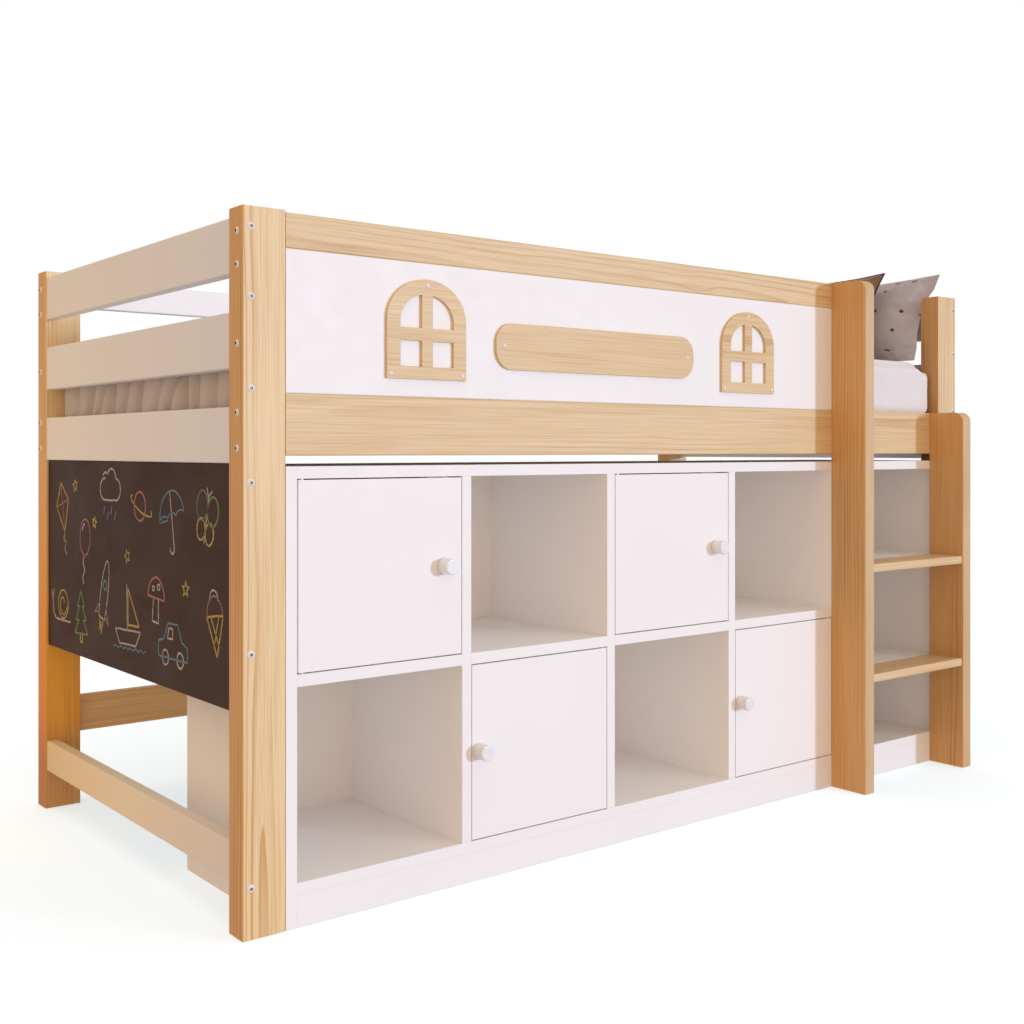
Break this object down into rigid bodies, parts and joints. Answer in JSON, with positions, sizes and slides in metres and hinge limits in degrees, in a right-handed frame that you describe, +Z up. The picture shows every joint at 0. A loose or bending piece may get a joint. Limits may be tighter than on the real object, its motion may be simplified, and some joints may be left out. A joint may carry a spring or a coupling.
{
  "type": "cabin bed",
  "caption": "Half-height children's cabin bed on posts with guard rails, window trim, ladder, chalkboard end and a cupboard of open and doored cube bays under it.",
  "frame": {"origin": "middle of the base of the whole object, on the floor", "axes": "+X along the bed towards the ladder end, +Y to the back, +Z up"},
  "size_m": [1.9682, 1.0766, 1.217],
  "materials": {
    "pine": "clear satin lacquer",
    "pine_warm": "clear satin lacquer",
    "white_paint": "satin white paint",
    "chalkboard": "matt blackboard paint",
    "white_metal": "white coated steel",
    "zinc": "zinc plated",
    "white_plastic": "satin",
    "sheet": "cotton sheet",
    "pillow_cloth": "printed cotton",
    "cushion_cloth": "woven cotton with dark piping"
  },
  "bodies": {
    "bed": {"post_front_left": "pine", "post_front_right": "pine", "post_rear_left": "pine", "post_rear_right": "pine", "front_side_rail": "pine", "front_panel": "white_paint", "front_top_rail": "pine", "rear_side_rail": "pine", "rear_guard_rail": "white_paint", "rear_stretcher": "pine_warm", "end_rails_left": "white_paint", "end_rails_right": "white_paint", "stretcher_left": "white_paint", "stretcher_right": "white_paint", "chalkboard": "chalkboard", "window_left": "pine", "window_right": "pine", "plaque": "pine", "trim_screws": "white_metal", "stile_left": "pine", "stile_right": "pine", "ladder_treads": "pine", "ladder_screws": "zinc", "slat_ledgers": "pine", "slats": "pine", "side_bolts": "white_metal", "end_bolts": "white_metal", "barrel_nuts": "zinc", "cabinet_side_left": "white_paint", "cabinet_side_right": "white_paint", "cabinet_top": "white_paint", "cabinet_base": "white_paint", "cabinet_plinths": "white_paint", "cabinet_dividers": "white_paint", "cabinet_shelves": "white_paint", "ladder_bay_shelves": "white_paint", "cabinet_back": "white_paint", "door_catches": "white_plastic"},
    "door_1": {"door_1": "white_paint", "knob_1": "white_plastic", "hinge_pins_1": "zinc", "knob_screw_1": "zinc"},
    "door_2": {"door_2": "white_paint", "knob_2": "white_plastic", "hinge_pins_2": "zinc", "knob_screw_2": "zinc"},
    "door_3": {"door_3": "white_paint", "knob_3": "white_plastic", "hinge_pins_3": "zinc", "knob_screw_3": "zinc"},
    "door_4": {"door_4": "white_paint", "knob_4": "white_plastic", "hinge_pins_4": "zinc", "knob_screw_4": "zinc"},
    "mattress": {"mattress": "sheet"},
    "pillow": {"pillow": "pillow_cloth"},
    "cushion": {"cushion": "cushion_cloth"}
  },
  "joints": [
    {"name": "door_1_hinge", "type": "hinge", "parent": "bed", "child": "door_1", "pos_m": [-0.8765, -0.44131, 0.56375], "axis": [0, 0, -1], "range_deg": [0, 105]},
    {"name": "door_2_hinge", "type": "hinge", "parent": "bed", "child": "door_2", "pos_m": [-0.2215, -0.44131, 0.22925], "axis": [0, 0, 1], "range_deg": [0, 105]},
    {"name": "door_3_hinge", "type": "hinge", "parent": "bed", "child": "door_3", "pos_m": [-0.1815, -0.44131, 0.56375], "axis": [0, 0, -1], "range_deg": [0, 105]},
    {"name": "door_4_hinge", "type": "hinge", "parent": "bed", "child": "door_4", "pos_m": [0.4735, -0.44131, 0.22925], "axis": [0, 0, 1], "range_deg": [0, 90]},
    {"name": "mattress_lift", "type": "slide", "parent": "bed", "child": "mattress", "axis": [0, 0, 1], "range_m": [0, 0.35]},
    {"name": "pillow_lift", "type": "slide", "parent": "mattress", "child": "pillow", "axis": [0, 0, 1], "range_m": [0, 0.25]},
    {"name": "cushion_lift", "type": "slide", "parent": "pillow", "child": "cushion", "axis": [0, 0, 1], "range_m": [0, 0.25]}
  ]
}
